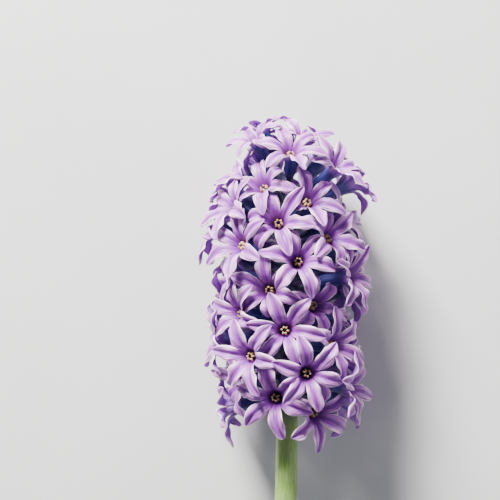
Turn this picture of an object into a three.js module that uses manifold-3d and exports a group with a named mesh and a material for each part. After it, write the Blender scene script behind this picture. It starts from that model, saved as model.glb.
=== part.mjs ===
// A cut hyacinth flower lying on its side, in millimetres, with +Z up and +Y towards the flower's tip.
// One green stem carries the florets, each on its own short stalk. Each floret is one solid: a fleshy tube
// that opens into six petals, which bend back and pass over, under and between the petals beside them.
import * as THREE from "three";
import Module from "manifold-3d";

const wasm = await Module();
wasm.setup();

// ---- Driving dimensions, in millimetres and degrees -------------------------------------------------
const FLORETS = 58;
const GOLDEN_ANGLE = -137.5; // each floret stands this far round the stem from the one below it
const FIRST_ANGLE = 37; // where the lowest floret faces, measured from straight up towards +X
const ANGLE_SCATTER = 1.5;

const MOUTH_RADIUS = 25.3; // from the stem's axis to the mouths of the florets, where the spike is widest
const FOOT_NARROWING = 2.5; // how much closer to the stem the lowest mouths stand
const SHOULDER = 84; // height of the straight flank, from the lowest mouths up to the start of the dome
const DOME = 36; // height of the dome above the shoulder
const LAYERS = 3; // florets stand at three depths, so that neighbours' petals pass over each other
const LAYER_STEP = 3.4;
const TOP_SHRINK = 0.28; // the topmost florets are this share smaller
const SHRINK_FROM = 0.72; // share of the florets, from below, after which they get smaller

const FIRST_STALK = 4.8; // height at which the lowest floret's stalk leaves the stem
const LAST_STALK = 97; // and the highest one's
const STALK_CROWDING = 0.25; // stalks stand a little closer together towards the top
const STALK_RADIUS = 1.4;
const STALK_FOOT = 0.6; // a stalk's radius at the middle of the stem, as a share of that at the floret

const STEM_LENGTH = 104; // from the lowest mouths down to the cut
const STEM_RADIUS = { foot: 4.6, tip: 1.8 };
const STEM_BOW = { side: -5, sag: -2.5 }; // how far the cut end has moved sideways and down
const STEM_RINGS = [-104, -80, -55, -30, 0, 35, 65, 88, 98]; // heights of the stem's cross-sections
const STEM_SIDES = 10;
const STEM_TIP = 100.5;

const TUBE_LENGTH = 14.2; // a floret's tube, from its base to its mouth
const TUBE_BASE_RADIUS = 1.7;
const TUBE_BULGE = { radius: 3.1, at: 0.24 }; // the swelling over the seed chamber, as a share of the length
const NOTCH = { radius: 3.3, drop: 0.6 }; // the mouth's rim between two petals
const INSIDE = { radius: 3.0, drop: 0 }; // the mouth's rim inside a petal
const OUTSIDE = { radius: 4.3, drop: 0.4 }; // and outside it
const THROAT = { radius: 1.9, depth: 3.2 }; // the cup inside the mouth
const STAMENS_DEPTH = 1.2; // the stamens' tips stand this far below the mouth

const PETALS = 6;
const PETAL_LENGTH = 15.3;
const LENGTH_SCATTER = 0.9;
const PETAL_HALF_WIDTH = 3.25;
const PETAL_THICKNESS = 0.75;
const PETAL_CHANNEL = 0.3; // how far the edges rise over the midrib, as a share of the half width
const PETAL_START = 3.6; // radius at which a petal's midline leaves the mouth
const PETAL_RISE = 22; // angle between the petal and the tube's axis where it leaves the mouth
const PETAL_BEND = 128; // the same angle at the tip: past 90 the petal points back towards the stem
const BEND_SCATTER = 20;
const YAW_SCATTER = 7;
const TWIST_SCATTER = 20;
const OUTER_PETAL = 1.05; // three petals are a little broader than the three between them
const INNER_PETAL = 0.95;
const ROLL = { mean: 13, scatter: 10 }; // turn of a floret about its own axis
const STATIONS = [0.3, 0.6, 0.85, 1]; // shares of the length with a cross-section, and then the tip
const STEPS = 20; // steps in which a petal's midline is followed
const BEND_EASE = 1.3; // above 1, a petal bends more strongly near its foot than near its tip
const GIVE_EASE = 0.7; // below 1, so does its extra bend
const PETAL_WAIST = 0.62; // share of the half width where the petal starts
const PETAL_WIDEST = 0.55; // share of the length where it is widest
const PETAL_POINT = { from: 0.46, span: 0.56, power: 2.2 }; // how it narrows to its tip: more is blunter

// How a petal may give way past its first section: more degrees of bend, yaw and twist, and a shorter length.
const GIVE = {
  bend: [0, 15, -15, 30, -30, 45, -45, 60, -60],
  yaw: [0, 12, -12, 24, -24],
  twist: [0, 30, -30],
  length: [1, 0.9, 0.8, 0.7],
  width: 1,
};
// The few petals that have least room are shorter and narrower.
const SMALL = { ...GIVE, length: [0.7, 0.55, 0.4, 0.3], width: 0.6 };
const AT_EASE = { bend: 0, yaw: 0, twist: 0, length: 1, width: 1 };

// Petals are kept apart by points spread over them: how many, and how near those of two petals may come.
const ROWS = 6;
const COLUMNS = 4;
const NEAR = 1.0;
const NEAR_SISTER = 0.6; // for two petals of one floret, which start side by side
const CLEARANCE = 0.3;
const MOVES_AT_MOST = 400;
const WAYS_TO_PUSH = 80;

const LYING = { height: 31.2, forward: -11.6 }; // where the stem's axis lies, and the lowest mouths
const COLOURS = { stem: 0x7f9a52, floret: 0xb79ad2 };

// ---- Small helpers ----------------------------------------------------------------------------------
const rad = THREE.MathUtils.degToRad;
const vec = (x, y, z) => new THREE.Vector3(x, y, z);
const mix = (p, q, share) => p.clone().lerp(q, share);

// A number from -1 to 1 that is always the same for the same floret and item.
function draw(floret, item) {
  const s = Math.sin(floret * 12.9898 + item * 78.233) * 43758.5453;
  return 2 * (s - Math.floor(s)) - 1;
}

function solidFrom(points, triangles) {
  const vertProperties = new Float32Array(points.flatMap((p) => p.toArray()));
  const triVerts = new Uint32Array(triangles.flat());
  return new wasm.Manifold(new wasm.Mesh({ numProp: 3, vertProperties, triVerts }));
}

// ---- Where each floret stands -----------------------------------------------------------------------
function mouthRadius(y) {
  if (y > SHOULDER) return MOUTH_RADIUS * Math.sqrt(Math.max(0, 1 - ((y - SHOULDER) / DOME) ** 2));
  return MOUTH_RADIUS - FOOT_NARROWING * ((SHOULDER - y) / SHOULDER) ** 2;
}

// The florets near the top are smaller.
function floretSize(i) {
  const share = i / (FLORETS - 1);
  return 1 - TOP_SHRINK * Math.max(0, (share - SHRINK_FROM) / (1 - SHRINK_FROM)) ** 1.5;
}

// Heights of the mouths: each floret has a share of the spike's surface that suits its size.
function mouthHeights() {
  const slices = 2000;
  const top = SHOULDER + DOME;
  const area = [0];
  for (let i = 0; i < slices; i++) {
    const low = (i / slices) * top;
    const high = ((i + 1) / slices) * top;
    const slant = Math.hypot(high - low, mouthRadius(high) - mouthRadius(low));
    area.push(area[i] + (mouthRadius(low) + mouthRadius(high)) * slant);
  }
  const needs = Array.from({ length: FLORETS }, (_, i) => floretSize(i) ** 2);
  const total = needs.reduce((sum, need) => sum + need, 0);
  const heights = [];
  let below = 0;
  let slice = 0;
  for (const need of needs) {
    while (area[slice] < ((below + need / 2) / total) * area[slices]) slice++;
    heights.push((slice / slices) * top);
    below += need;
  }
  return heights;
}

// The stem is thickest below and thins out among the florets.
function stemRadius(y) {
  return STEM_RADIUS.foot - (STEM_RADIUS.foot - STEM_RADIUS.tip) * Math.max(0, y / STEM_TIP) ** 1.5;
}

function placeFlorets() {
  return mouthHeights().map((height, i) => {
    const share = i / (FLORETS - 1);
    const angle = rad(FIRST_ANGLE + GOLDEN_ANGLE * i + ANGLE_SCATTER * draw(i, 1));
    const outward = vec(Math.sin(angle), 0, Math.cos(angle));
    const size = floretSize(i);
    const layer = i % LAYERS;
    const climb = share + STALK_CROWDING * share * (1 - share);
    const root = vec(0, FIRST_STALK + (LAST_STALK - FIRST_STALK) * climb, 0);
    const mouth = outward.clone().multiplyScalar(mouthRadius(height)).setY(height);
    const axis = mouth.clone().sub(root).normalize();
    mouth.addScaledVector(axis, (layer - 1) * LAYER_STEP);
    const up = vec(0, 1, 0).addScaledVector(axis, -axis.y).normalize();
    const side = axis.clone().cross(up);
    const roll = ROLL.mean + ROLL.scatter * draw(i, 2);
    return { i, root, mouth, axis, up, side, size, roll, layer };
  });
}

// A point in the floret's own frame: along its axis from the mouth, and out from it at an angle.
function at(floret, along, radius, angle) {
  return floret.mouth
    .clone()
    .addScaledVector(floret.axis, along * floret.size)
    .addScaledVector(floret.up, radius * floret.size * Math.cos(rad(angle)))
    .addScaledVector(floret.side, radius * floret.size * Math.sin(rad(angle)));
}

// ---- Petals -----------------------------------------------------------------------------------------
// Share of the half width at a share of the length: a waist at the mouth, and a blunt point at the end.
function petalWidth(t) {
  const risen = Math.sin((Math.PI / 2) * Math.min(1, t / PETAL_WIDEST));
  const past = Math.max(0, t - PETAL_POINT.from) / PETAL_POINT.span;
  const closing = Math.sqrt(Math.max(0, 1 - past ** PETAL_POINT.power));
  return (PETAL_WAIST + (1 - PETAL_WAIST) * risen) * closing;
}

// What lies on the surface is pressed flat against it. The section's middle stays half a thickness above it.
function pressedSection(left, middle, right, normal) {
  const half = normal.clone().multiplyScalar(PETAL_THICKNESS / 2);
  middle.addScaledVector(half, -1);
  middle.z = Math.max(middle.z, Math.abs(half.z) - LYING.height);
  left.z = Math.max(left.z, -LYING.height);
  right.z = Math.max(right.z, -LYING.height);
  return [left, middle.clone().add(half), right, middle.clone().sub(half)];
}

// The cross-sections of one petal: left edge, inner face, right edge, outer face; the last is the tip alone.
function petalSections(floret, k, give, last = STATIONS.length) {
  const item = 10 + 6 * k;
  const angle = floret.roll + (360 / PETALS) * k;
  const bend = PETAL_BEND + BEND_SCATTER * draw(floret.i, item);
  const yaw = YAW_SCATTER * draw(floret.i, item + 1);
  const twist = TWIST_SCATTER * draw(floret.i, item + 2);
  const length = (PETAL_LENGTH + LENGTH_SCATTER * draw(floret.i, item + 3)) * floret.size;
  const broad = PETAL_HALF_WIDTH * floret.size * (k % 2 ? INNER_PETAL : OUTER_PETAL);
  const point = at(floret, 0, PETAL_START, angle);
  const sections = [];
  for (let n = 0; n < STEPS && sections.length < last; n++) {
    const t = (n + 1) / STEPS;
    const mid = (n + 0.5) / STEPS;
    const loose = Math.max(0, (mid - STATIONS[0]) / (1 - STATIONS[0]));
    const bent = 1 - (1 - mid) ** BEND_EASE;
    const lean = rad(PETAL_RISE + (bend - PETAL_RISE) * bent + give.bend * loose ** GIVE_EASE);
    const turn = rad(angle + yaw * mid + give.yaw * loose);
    const out = floret.up.clone().multiplyScalar(Math.cos(turn)).addScaledVector(floret.side, Math.sin(turn));
    const along = floret.axis.clone().multiplyScalar(Math.cos(lean)).addScaledVector(out, Math.sin(lean));
    point.addScaledVector(along, (length / STEPS) * (loose > 0 ? give.length : 1));
    if (Math.abs(t - STATIONS[sections.length]) > 1e-9) continue;
    if (t === 1) {
      sections.push([vec(point.x, point.y, Math.max(point.z, PETAL_THICKNESS / 2 - LYING.height))]);
      break;
    }
    const roll = rad(twist * t * t + give.twist * loose);
    const flat = floret.axis.clone().cross(out);
    const face = along.clone().cross(flat);
    const across = flat.clone().multiplyScalar(Math.cos(roll)).addScaledVector(face, Math.sin(roll));
    const normal = face.clone().multiplyScalar(Math.cos(roll)).addScaledVector(flat, -Math.sin(roll));
    const half = broad * petalWidth(t) * (loose > 0 ? give.width : 1);
    const rim = point.clone().addScaledVector(normal, PETAL_CHANNEL * half);
    const left = rim.clone().addScaledVector(across, -half);
    const right = rim.clone().addScaledVector(across, half);
    sections.push(pressedSection(left, point.clone(), right, normal));
  }
  return sections;
}

// Skin between sections of four points, which ends in the tip. Quads are split alike on both faces.
function petalSkin(sections, index) {
  const faces = [];
  const rings = sections.map((s) => s.map(index));
  for (let n = 0; n + 1 < rings.length; n++) {
    const [a, b] = [rings[n], rings[n + 1]];
    if (b.length === 1) {
      for (let j = 0; j < 4; j++) faces.push([a[j], b[0], a[(j + 1) % 4]]);
      continue;
    }
    faces.push([a[0], b[0], b[1]], [a[0], b[1], a[1]], [a[1], b[1], b[2]], [a[1], b[2], a[2]]);
    faces.push([a[0], b[3], b[0]], [a[0], a[3], b[3]], [a[3], b[2], b[3]], [a[3], a[2], b[2]]);
  }
  return faces;
}

// The free part of one petal as a solid of its own, to measure with.
function freePetal({ floret, k, give }) {
  const points = [];
  const faces = petalSkin(petalSections(floret, k, give), (p) => points.push(p) - 1);
  faces.push([0, 1, 3], [1, 2, 3]);
  return solidFrom(points, faces);
}

// ---- One floret -------------------------------------------------------------------------------------
// Tube with its swelling, mouth, six petals, and the cup of the throat, which rises to the stamens' tips.
// A petal for which gives has nothing ends at its first section.
function floretSolid(floret, gives) {
  const points = [];
  const known = new Map();
  const index = (p) => {
    if (!known.has(p)) known.set(p, points.push(p) - 1);
    return known.get(p);
  };
  const sector = 360 / PETALS;
  const ring = (drop, radius, offset) => {
    const made = [];
    for (let k = 0; k < PETALS; k++) {
      made.push(at(floret, -drop, radius, floret.roll + sector * (k + offset)));
    }
    made.forEach(index);
    return made;
  };
  const base = ring(TUBE_LENGTH, TUBE_BASE_RADIUS, -0.5).map(index);
  const bulge = ring(TUBE_LENGTH * (1 - TUBE_BULGE.at), TUBE_BULGE.radius, -0.5).map(index);
  const cup = ring(THROAT.depth, THROAT.radius, -0.5).map(index);
  const notches = ring(NOTCH.drop, NOTCH.radius, -0.5);
  const insides = ring(INSIDE.drop, INSIDE.radius, 0);
  const outsides = ring(OUTSIDE.drop, OUTSIDE.radius, 0);
  const stamens = index(at(floret, -STAMENS_DEPTH, 0, 0));
  const faces = [];
  for (let k = 1; k + 1 < PETALS; k++) faces.push([base[0], base[k + 1], base[k]]);
  for (let k = 0; k < PETALS; k++) {
    const next = (k + 1) % PETALS;
    const root = [notches[k], insides[k], notches[next], outsides[k]];
    const [left, inner, right, outer] = root.map(index);
    faces.push([base[k], base[next], bulge[next]], [base[k], bulge[next], bulge[k]]);
    faces.push([bulge[k], bulge[next], right], [bulge[k], right, outer], [bulge[k], outer, left]);
    faces.push([cup[k], left, inner], [cup[k], inner, right], [cup[k], right, cup[next]]);
    faces.push([cup[k], cup[next], stamens]);
    const sections = gives[k] ? petalSections(floret, k, gives[k]) : petalSections(floret, k, AT_EASE, 1);
    faces.push(...petalSkin([root, ...sections], index));
    if (gives[k]) continue;
    const end = sections[0].map(index);
    faces.push([end[1], end[0], end[3]], [end[2], end[1], end[3]]);
  }
  return solidFrom(points, faces);
}

// ---- Room for every petal ---------------------------------------------------------------------------
// A petal keeps its natural bend where it can. One with another petal in its path gives way: it bends, turns
// or twists a little more. Where nothing is clear it pushes the petals in its path aside, and they give way.
const EFFORT = { bend: 30, yaw: 20, twist: 45, shortening: 5 }; // degrees that weigh alike, and all the length

function effort({ bend, yaw, twist, length }) {
  const bent = Math.abs(bend) / EFFORT.bend;
  const turned = Math.abs(yaw) / EFFORT.yaw;
  const twisted = Math.abs(twist) / EFFORT.twist;
  return bent + turned + twisted + EFFORT.shortening * (1 - length);
}

function waysToGive({ bend, yaw, twist, length, width }) {
  const ways = [];
  for (const l of length) {
    for (const b of bend) {
      for (const y of yaw) {
        for (const w of twist) ways.push({ bend: b, yaw: y, twist: w, length: l, width });
      }
    }
  }
  return ways.sort((v, w) => effort(v) - effort(w));
}

// Points spread over the free part of a petal, halfway through its thickness, and the box round them.
function spreadPoints(floret, k, give) {
  const lines = petalSections(floret, k, give).map((s) => {
    if (s.length === 1) return [s[0], s[0], s[0]];
    return [s[0], mix(s[1], s[3], 0.5), s[2]];
  });
  const points = [lines.at(-1)[0]];
  for (let n = 0; n + 1 < lines.length; n++) {
    for (let i = 0; i < ROWS; i++) {
      const line = lines[n].map((p, j) => mix(p, lines[n + 1][j], i / ROWS));
      for (let j = 0; j < COLUMNS; j++) {
        points.push(mix(line[0], line[1], j / COLUMNS), mix(line[1], line[2], j / COLUMNS));
      }
      points.push(line[2]);
    }
  }
  const box = new THREE.Box3().setFromPoints(points);
  return { floret, k, give, points: points.flatMap((p) => p.toArray()), box };
}

function meet(a, b) {
  if (!a.box.intersectsBox(b.reach)) return false;
  const near = a.floret === b.floret ? NEAR_SISTER : NEAR;
  for (let i = 0; i < a.points.length; i += 3) {
    for (let j = 0; j < b.points.length; j += 3) {
      const x = a.points[i] - b.points[j];
      const y = a.points[i + 1] - b.points[j + 1];
      const z = a.points[i + 2] - b.points[j + 2];
      if (x * x + y * y + z * z < near * near) return true;
    }
  }
  return false;
}

// Whether a petal is clear of what doesn't move: the other florets' tubes with the roots of their petals.
function clearOf(petal, fixed) {
  const close = fixed.filter((f) => f.floret !== petal.floret && f.reach.intersectsBox(petal.box));
  if (!close.length) return true;
  const solid = freePetal(petal);
  return close.every((f) => solid.minGap(f.solid, 1) > CLEARANCE);
}

// The first way to give that is clear of everything, or else nothing.
function freeWay(item, ways, placed, fixed) {
  for (const way of ways) {
    const petal = spreadPoints(item.floret, item.k, way);
    if (placed.some((other) => meet(petal, other))) continue;
    if (clearOf(petal, fixed)) return petal;
  }
  return null;
}

// The way that pushes the fewest petals aside, those that were moved least first.
function pushingWay(item, ways, placed, fixed) {
  let best = null;
  for (const way of ways.slice(0, WAYS_TO_PUSH)) {
    const petal = spreadPoints(item.floret, item.k, way);
    const aside = placed.filter((other) => meet(petal, other));
    const price = aside.reduce((sum, other) => sum + 1 + 2 * other.item.moved, 0);
    if (best && price >= best.price) continue;
    if (clearOf(petal, fixed)) best = { ...petal, aside, price };
  }
  return best;
}

function arrangePetals(florets) {
  const ways = waysToGive(GIVE);
  const fixed = florets.map((floret) => {
    const solid = floretSolid(floret, []);
    const { min, max } = solid.boundingBox();
    return { floret, solid, reach: new THREE.Box3(vec(...min), vec(...max)).expandByScalar(CLEARANCE) };
  });
  const waiting = [];
  for (let layer = LAYERS - 1; layer >= 0; layer--) {
    for (const floret of florets.filter((f) => f.layer === layer)) {
      for (let k = 0; k < PETALS; k++) waiting.push({ floret, k, moved: 0 });
    }
  }
  let placed = [];
  const place = (petal, item) => {
    placed.push({ ...petal, item, reach: petal.box.clone().expandByScalar(NEAR) });
  };
  const left = [];
  for (let move = 0; waiting.length && move < MOVES_AT_MOST; move++) {
    const item = waiting.shift();
    const petal = freeWay(item, ways, placed, fixed) ?? pushingWay(item, ways, placed, fixed);
    if (!petal) {
      left.push(item);
      continue;
    }
    for (const other of petal.aside ?? []) {
      other.item.moved++;
      waiting.push(other.item);
    }
    placed = placed.filter((other) => !petal.aside?.includes(other));
    place(petal, item);
  }
  // The few that still have no room stay small.
  const smallWays = waysToGive(SMALL);
  for (const item of [...left, ...waiting]) {
    const petal = freeWay(item, ways, placed, fixed) ?? freeWay(item, smallWays, placed, fixed);
    if (petal) place(petal, item);
  }
  return placed;
}

// ---- Stem with the florets' stalks ------------------------------------------------------------------
// A solid through rings of points, closed flat at its start and at its end, or in a last single point.
function loft(rings) {
  const points = rings.flat();
  const sides = rings[0].length;
  const faces = [];
  for (let j = 1; j + 1 < sides; j++) faces.push([0, j + 1, j]);
  let start = 0;
  for (let n = 0; n + 1 < rings.length; n++) {
    const next = start + sides;
    for (let j = 0; j < sides; j++) {
      const k = (j + 1) % sides;
      if (rings[n + 1].length === 1) faces.push([start + j, start + k, next]);
      else faces.push([start + j, start + k, next + k], [start + j, next + k, next + j]);
    }
    start = next;
  }
  if (rings.at(-1).length > 1) {
    for (let j = 1; j + 1 < sides; j++) faces.push([start, start + j, start + j + 1]);
  }
  return solidFrom(points, faces);
}

function circle(centre, axis, up, radius, sides) {
  const side = axis.clone().cross(up);
  const made = [];
  for (let j = 0; j < sides; j++) {
    const angle = (2 * Math.PI * j) / sides;
    const point = centre.clone().addScaledVector(up, radius * Math.cos(angle));
    made.push(point.addScaledVector(side, radius * Math.sin(angle)));
  }
  return made;
}

// The bare stem below the florets is bowed a little; among them it is straight.
function stemCentre(y) {
  const share = Math.max(0, -y / STEM_LENGTH) ** 2;
  return vec(STEM_BOW.side * share, y, STEM_BOW.sag * share);
}

function stemSolid(florets) {
  const along = vec(0, 1, 0);
  const rings = STEM_RINGS.map((y) => circle(stemCentre(y), along, vec(0, 0, 1), stemRadius(y), STEM_SIDES));
  rings.push([vec(0, STEM_TIP, 0)]);
  const stalks = florets.map((floret) => {
    const end = at(floret, -TUBE_LENGTH, 0, 0).addScaledVector(floret.axis, -CLEARANCE);
    const radius = STALK_RADIUS * floret.size;
    const foot = circle(floret.root, floret.axis, floret.up, STALK_FOOT * radius, PETALS);
    return loft([foot, circle(end, floret.axis, floret.up, radius, PETALS)]);
  });
  return wasm.Manifold.union([loft(rings), ...stalks]);
}

// ---- The flower -------------------------------------------------------------------------------------
function meshFrom(solid, name, color) {
  const { vertProperties, triVerts } = solid.getMesh();
  const geometry = new THREE.BufferGeometry();
  geometry.setAttribute("position", new THREE.BufferAttribute(new Float32Array(vertProperties), 3));
  geometry.setIndex(new THREE.BufferAttribute(new Uint32Array(triVerts), 1));
  geometry.translate(0, LYING.forward, LYING.height);
  geometry.computeVertexNormals();
  const mesh = new THREE.Mesh(geometry, new THREE.MeshStandardMaterial({ color, roughness: 0.55 }));
  mesh.name = name;
  return mesh;
}

const group = new THREE.Group();
group.name = "hyacinth_flower";
const florets = placeFlorets();
const petals = arrangePetals(florets);
group.add(meshFrom(stemSolid(florets), "stem", COLOURS.stem));
for (const floret of florets) {
  const gives = Array(PETALS).fill(null);
  for (const petal of petals.filter((p) => p.floret === floret)) gives[petal.k] = petal.give;
  const name = `floret_${String(floret.i + 1).padStart(2, "0")}`;
  group.add(meshFrom(floretSolid(floret, gives), name, COLOURS.floret));
}

export default group;
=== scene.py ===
# %% [markdown]
# # A hyacinth flower, laid on its side
# The flower is a cut spike of 58 star-shaped florets on one green stem. It was first modelled as plain solids, which
# fix every place and size. This script loads those solids and covers them with finer pieces of the same form.
# All shapes are worked out with numpy, in millimetres, and turned into metres when a mesh is made.

import bpy
import numpy as np
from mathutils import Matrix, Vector


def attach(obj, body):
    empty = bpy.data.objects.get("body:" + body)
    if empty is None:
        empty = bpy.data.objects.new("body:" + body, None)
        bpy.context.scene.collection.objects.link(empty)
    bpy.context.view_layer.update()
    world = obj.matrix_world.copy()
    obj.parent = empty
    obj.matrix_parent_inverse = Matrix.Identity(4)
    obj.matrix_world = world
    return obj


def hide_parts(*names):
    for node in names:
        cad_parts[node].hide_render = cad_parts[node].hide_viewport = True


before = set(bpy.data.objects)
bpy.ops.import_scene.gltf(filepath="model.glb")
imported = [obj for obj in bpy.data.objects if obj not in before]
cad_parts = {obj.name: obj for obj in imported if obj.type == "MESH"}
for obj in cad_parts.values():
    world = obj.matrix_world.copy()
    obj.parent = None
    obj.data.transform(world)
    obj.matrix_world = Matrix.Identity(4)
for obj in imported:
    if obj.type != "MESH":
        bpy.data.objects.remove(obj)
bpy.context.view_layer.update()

# %% [markdown]
# ## Dimensions
# These are the same lengths that the solids were made with, so that the finer pieces land on them. The spike has its
# own frame: y runs up the stem from the lowest florets' mouths, and x and z are measured from the stem's axis.
# The mouths stand on a flank with a dome over it, at three depths, so that neighbours' petals pass over each other.

# %% Dimensions of the spike, in millimetres and degrees
FLORETS = 58
GOLDEN_ANGLE = -137.5  # each floret stands this far round the stem from the one below it
FIRST_ANGLE = 37.0  # where the lowest floret faces
ANGLE_SCATTER = 1.5
MOUTH_RADIUS = 25.3  # from the stem's axis to the mouths, where the spike is widest
FOOT_NARROWING = 2.5  # how much closer to the axis the lowest mouths stand
SHOULDER = 84.0  # height at which the flank ends
DOME = 36.0  # height of the dome over it
LAYERS = 3
LAYER_STEP = 3.4
TOP_SHRINK = 0.28  # the topmost florets are this share smaller
SHRINK_FROM = 0.72  # share of the florets, from below, after which they get smaller
SHRINK_EASE = 1.5
SLICES = 2000  # strips in which the spike's surface is measured
AXIS_HEIGHT = 31.2  # of the stem's axis over the floor
FORWARD = -11.6  # place of the lowest mouths along the floor
MM = 0.001
print("florets:", FLORETS, "spike height:", SHOULDER + DOME, "mm")

# %% [markdown]
# The stem thins out among the florets, and its bare foot is bowed. The florets' stalks leave it from just over the
# lowest mouths up to close under the tip, and stand a little closer together upwards.

# %% Dimensions of the stem and the stalks
FIRST_STALK = 4.8
LAST_STALK = 97.0
STALK_CROWDING = 0.25
STALK_RADIUS = 1.4
STEM_LENGTH = 104.0  # from the lowest mouths down to the cut
STEM_FOOT_RADIUS = 4.6
STEM_TIP_RADIUS = 1.8
STEM_TIP = 100.5
STEM_BOW_SIDE = -5.0  # how far the cut end has moved sideways
STEM_BOW_SAG = -2.5  # and downwards
print("stem:", STEM_LENGTH + STEM_TIP, "mm long, with stalks from", FIRST_STALK, "to", LAST_STALK, "mm")

# %% [markdown]
# A floret is a fleshy tube that opens into six petals, three of them a little broader than the three between. A petal
# leaves the mouth at 22 degrees from the tube's axis, and ends at about 128, so its tip points back to the stem.

# %% Dimensions of a floret
TUBE_LENGTH = 14.2
PETALS = 6
PETAL_TURN = 360.0 / PETALS
PETAL_LENGTH = 15.3
LENGTH_SCATTER = 0.9
PETAL_HALF_WIDTH = 3.25
PETAL_THICKNESS = 0.75
PETAL_CHANNEL = 0.3  # how far the edges rise over the midrib, as a share of the half width
PETAL_START = 3.6  # radius at which a petal's midline leaves the mouth
PETAL_RISE = 22.0
PETAL_BEND = 128.0
BEND_SCATTER = 20.0
BEND_EASE = 1.3  # above 1, a petal bends more strongly near its foot than near its tip
YAW_SCATTER = 7.0
TWIST_SCATTER = 20.0
OUTER_PETAL = 1.05
INNER_PETAL = 0.95
PETAL_WAIST = 0.62  # share of the half width where the petal starts
PETAL_WIDEST = 0.55  # share of the length where it is widest
PETAL_POINT = {"start": 0.46, "span": 0.56, "power": 2.2}  # how the solid petals narrow to their tips
ROLL_MEAN = 13.0  # turn of a floret about its own axis
ROLL_SCATTER = 10.0
print("petals:", FLORETS * PETALS, "of", PETAL_LENGTH, "by", 2 * PETAL_HALF_WIDTH, "mm")

# %% [markdown]
# ## Small differences that repeat
# Nothing that grows is quite like its neighbour. Each difference is drawn from a sine of the floret's number and the
# draw's own number, so it looks random and yet is the same on every run, here and in the solids.

# %% Draws
DRAW_BY_FLORET = 12.9898
DRAW_BY_ITEM = 78.233
DRAW_SPREAD = 43758.5453
DRAWS_PER_PETAL = 6
# The number of each kind of draw. Petals add their own number to it, or that times DRAWS_PER_PETAL for "petal".
ITEM = {"angle": 1, "roll": 2, "petal": 10, "wave": 60, "fold": 70, "chance": 80, "turn": 90, "drop": 100, "sway": 110}


def draw(floret, item):
    """Fractional part of a large multiple of a sine: a number from -1 to 1, the same on every run."""
    s = np.sin(floret * DRAW_BY_FLORET + item * DRAW_BY_ITEM) * DRAW_SPREAD
    return 2 * (s - np.floor(s)) - 1


print("first draws:", draw(np.arange(4), ITEM["angle"]).round(3))

# %% [markdown]
# ## Where each floret stands
# Leaves and florets on a stem follow one another at about 137.5 degrees, the golden angle, so no two stand in line.
# Each floret gets a share of the spike's surface that suits its size, which packs them evenly up to the tip.


# %% Form of the spike
def mouth_radius(y):
    """A flank that narrows with the square of the distance below the shoulder, and half an ellipse above it."""
    dome = MOUTH_RADIUS * np.sqrt(np.clip(1 - ((y - SHOULDER) / DOME) ** 2, 0, None))
    flank = MOUTH_RADIUS - FOOT_NARROWING * ((SHOULDER - y) / SHOULDER) ** 2
    return np.where(y > SHOULDER, dome, flank)


def mouth_heights(sizes):
    """Heights that share out the spike's surface in proportion to the square of each floret's size."""
    y = np.linspace(0, SHOULDER + DOME, SLICES + 1)
    r = mouth_radius(y)
    strips = (r[1:] + r[:-1]) * np.hypot(np.diff(y), np.diff(r))
    area = np.concatenate([[0], np.cumsum(strips)])
    need = sizes**2
    middle = (np.cumsum(need) - need / 2) / need.sum()
    return y[np.searchsorted(area, middle * area[-1])]


index = np.arange(FLORETS)
share = index / (FLORETS - 1)
size = 1 - TOP_SHRINK * np.clip((share - SHRINK_FROM) / (1 - SHRINK_FROM), 0, None) ** SHRINK_EASE
height = mouth_heights(size)
print("sizes from", size.min().round(2), "to", size.max(), "heights up to", height.max().round(1), "mm")

# %% [markdown]
# A floret's tube points from the root of its stalk through its mouth. Two more directions, up and side, complete a
# small frame of its own. The petals are set out round the tube's axis in that frame.


# %% Places of the florets
def unit(v):
    """Each vector divided by its length."""
    return v / np.linalg.norm(v, axis=-1, keepdims=True)


UPWARD = np.array([0.0, 1.0, 0.0])
around = np.radians(FIRST_ANGLE + GOLDEN_ANGLE * index + ANGLE_SCATTER * draw(index, ITEM["angle"]))
climb = share + STALK_CROWDING * share * (1 - share)
root = (FIRST_STALK + (LAST_STALK - FIRST_STALK) * climb)[:, None] * UPWARD
reach = mouth_radius(height)
mouth = np.stack([reach * np.sin(around), height, reach * np.cos(around)], 1)
axis = unit(mouth - root)
mouth = mouth + axis * ((index % LAYERS - 1) * LAYER_STEP)[:, None]
up = unit(UPWARD - axis * axis[:, 1:2])
side = np.cross(axis, up)
roll = ROLL_MEAN + ROLL_SCATTER * draw(index, ITEM["roll"])


def spoke(floret, angle):
    """Direction straight out from a floret's axis: up times the cosine of the angle, plus side times its sine."""
    shape = (len(floret),) + (1,) * (angle.ndim - 1) + (3,)
    angle = angle[..., None]
    return up[floret].reshape(shape) * np.cos(angle) + side[floret].reshape(shape) * np.sin(angle)


print("mouths from", mouth[:, 1].min().round(1), "to", mouth[:, 1].max().round(1), "mm up the stem")

# %% [markdown]
# ## The path of a petal
# A petal starts at the tube's mouth, nearly in line with it, and bends further and further back. Its path is followed
# in small steps, each in the direction that the bend has reached there. Past its first third a petal may give way to
# a neighbour. A way to give is an extra bend, yaw and twist in degrees, a shortening and a narrowing.

# %% Path of a petal
FREE_FROM = 0.3  # share of the length after which a petal may give way
GIVE_EASE = 0.7  # below 1, the extra bend is stronger near the foot
AT_EASE = {"bend": 0.0, "yaw": 0.0, "twist": 0.0, "length": 1.0}


def column(values):
    """The same values with one more axis at the end, to be spread over the steps of a path."""
    return np.asarray(values, float)[..., None]


def petal_draws(floret, k):
    """Bend, yaw, twist and length of petals: each is its mean plus its scatter times a draw."""
    item = ITEM["petal"] + DRAWS_PER_PETAL * k
    bend = PETAL_BEND + BEND_SCATTER * draw(floret, item)
    yaw = YAW_SCATTER * draw(floret, item + 1)
    twist = TWIST_SCATTER * draw(floret, item + 2)
    length = (PETAL_LENGTH + LENGTH_SCATTER * draw(floret, item + 3)) * size[floret]
    return bend, yaw, twist, length


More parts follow.
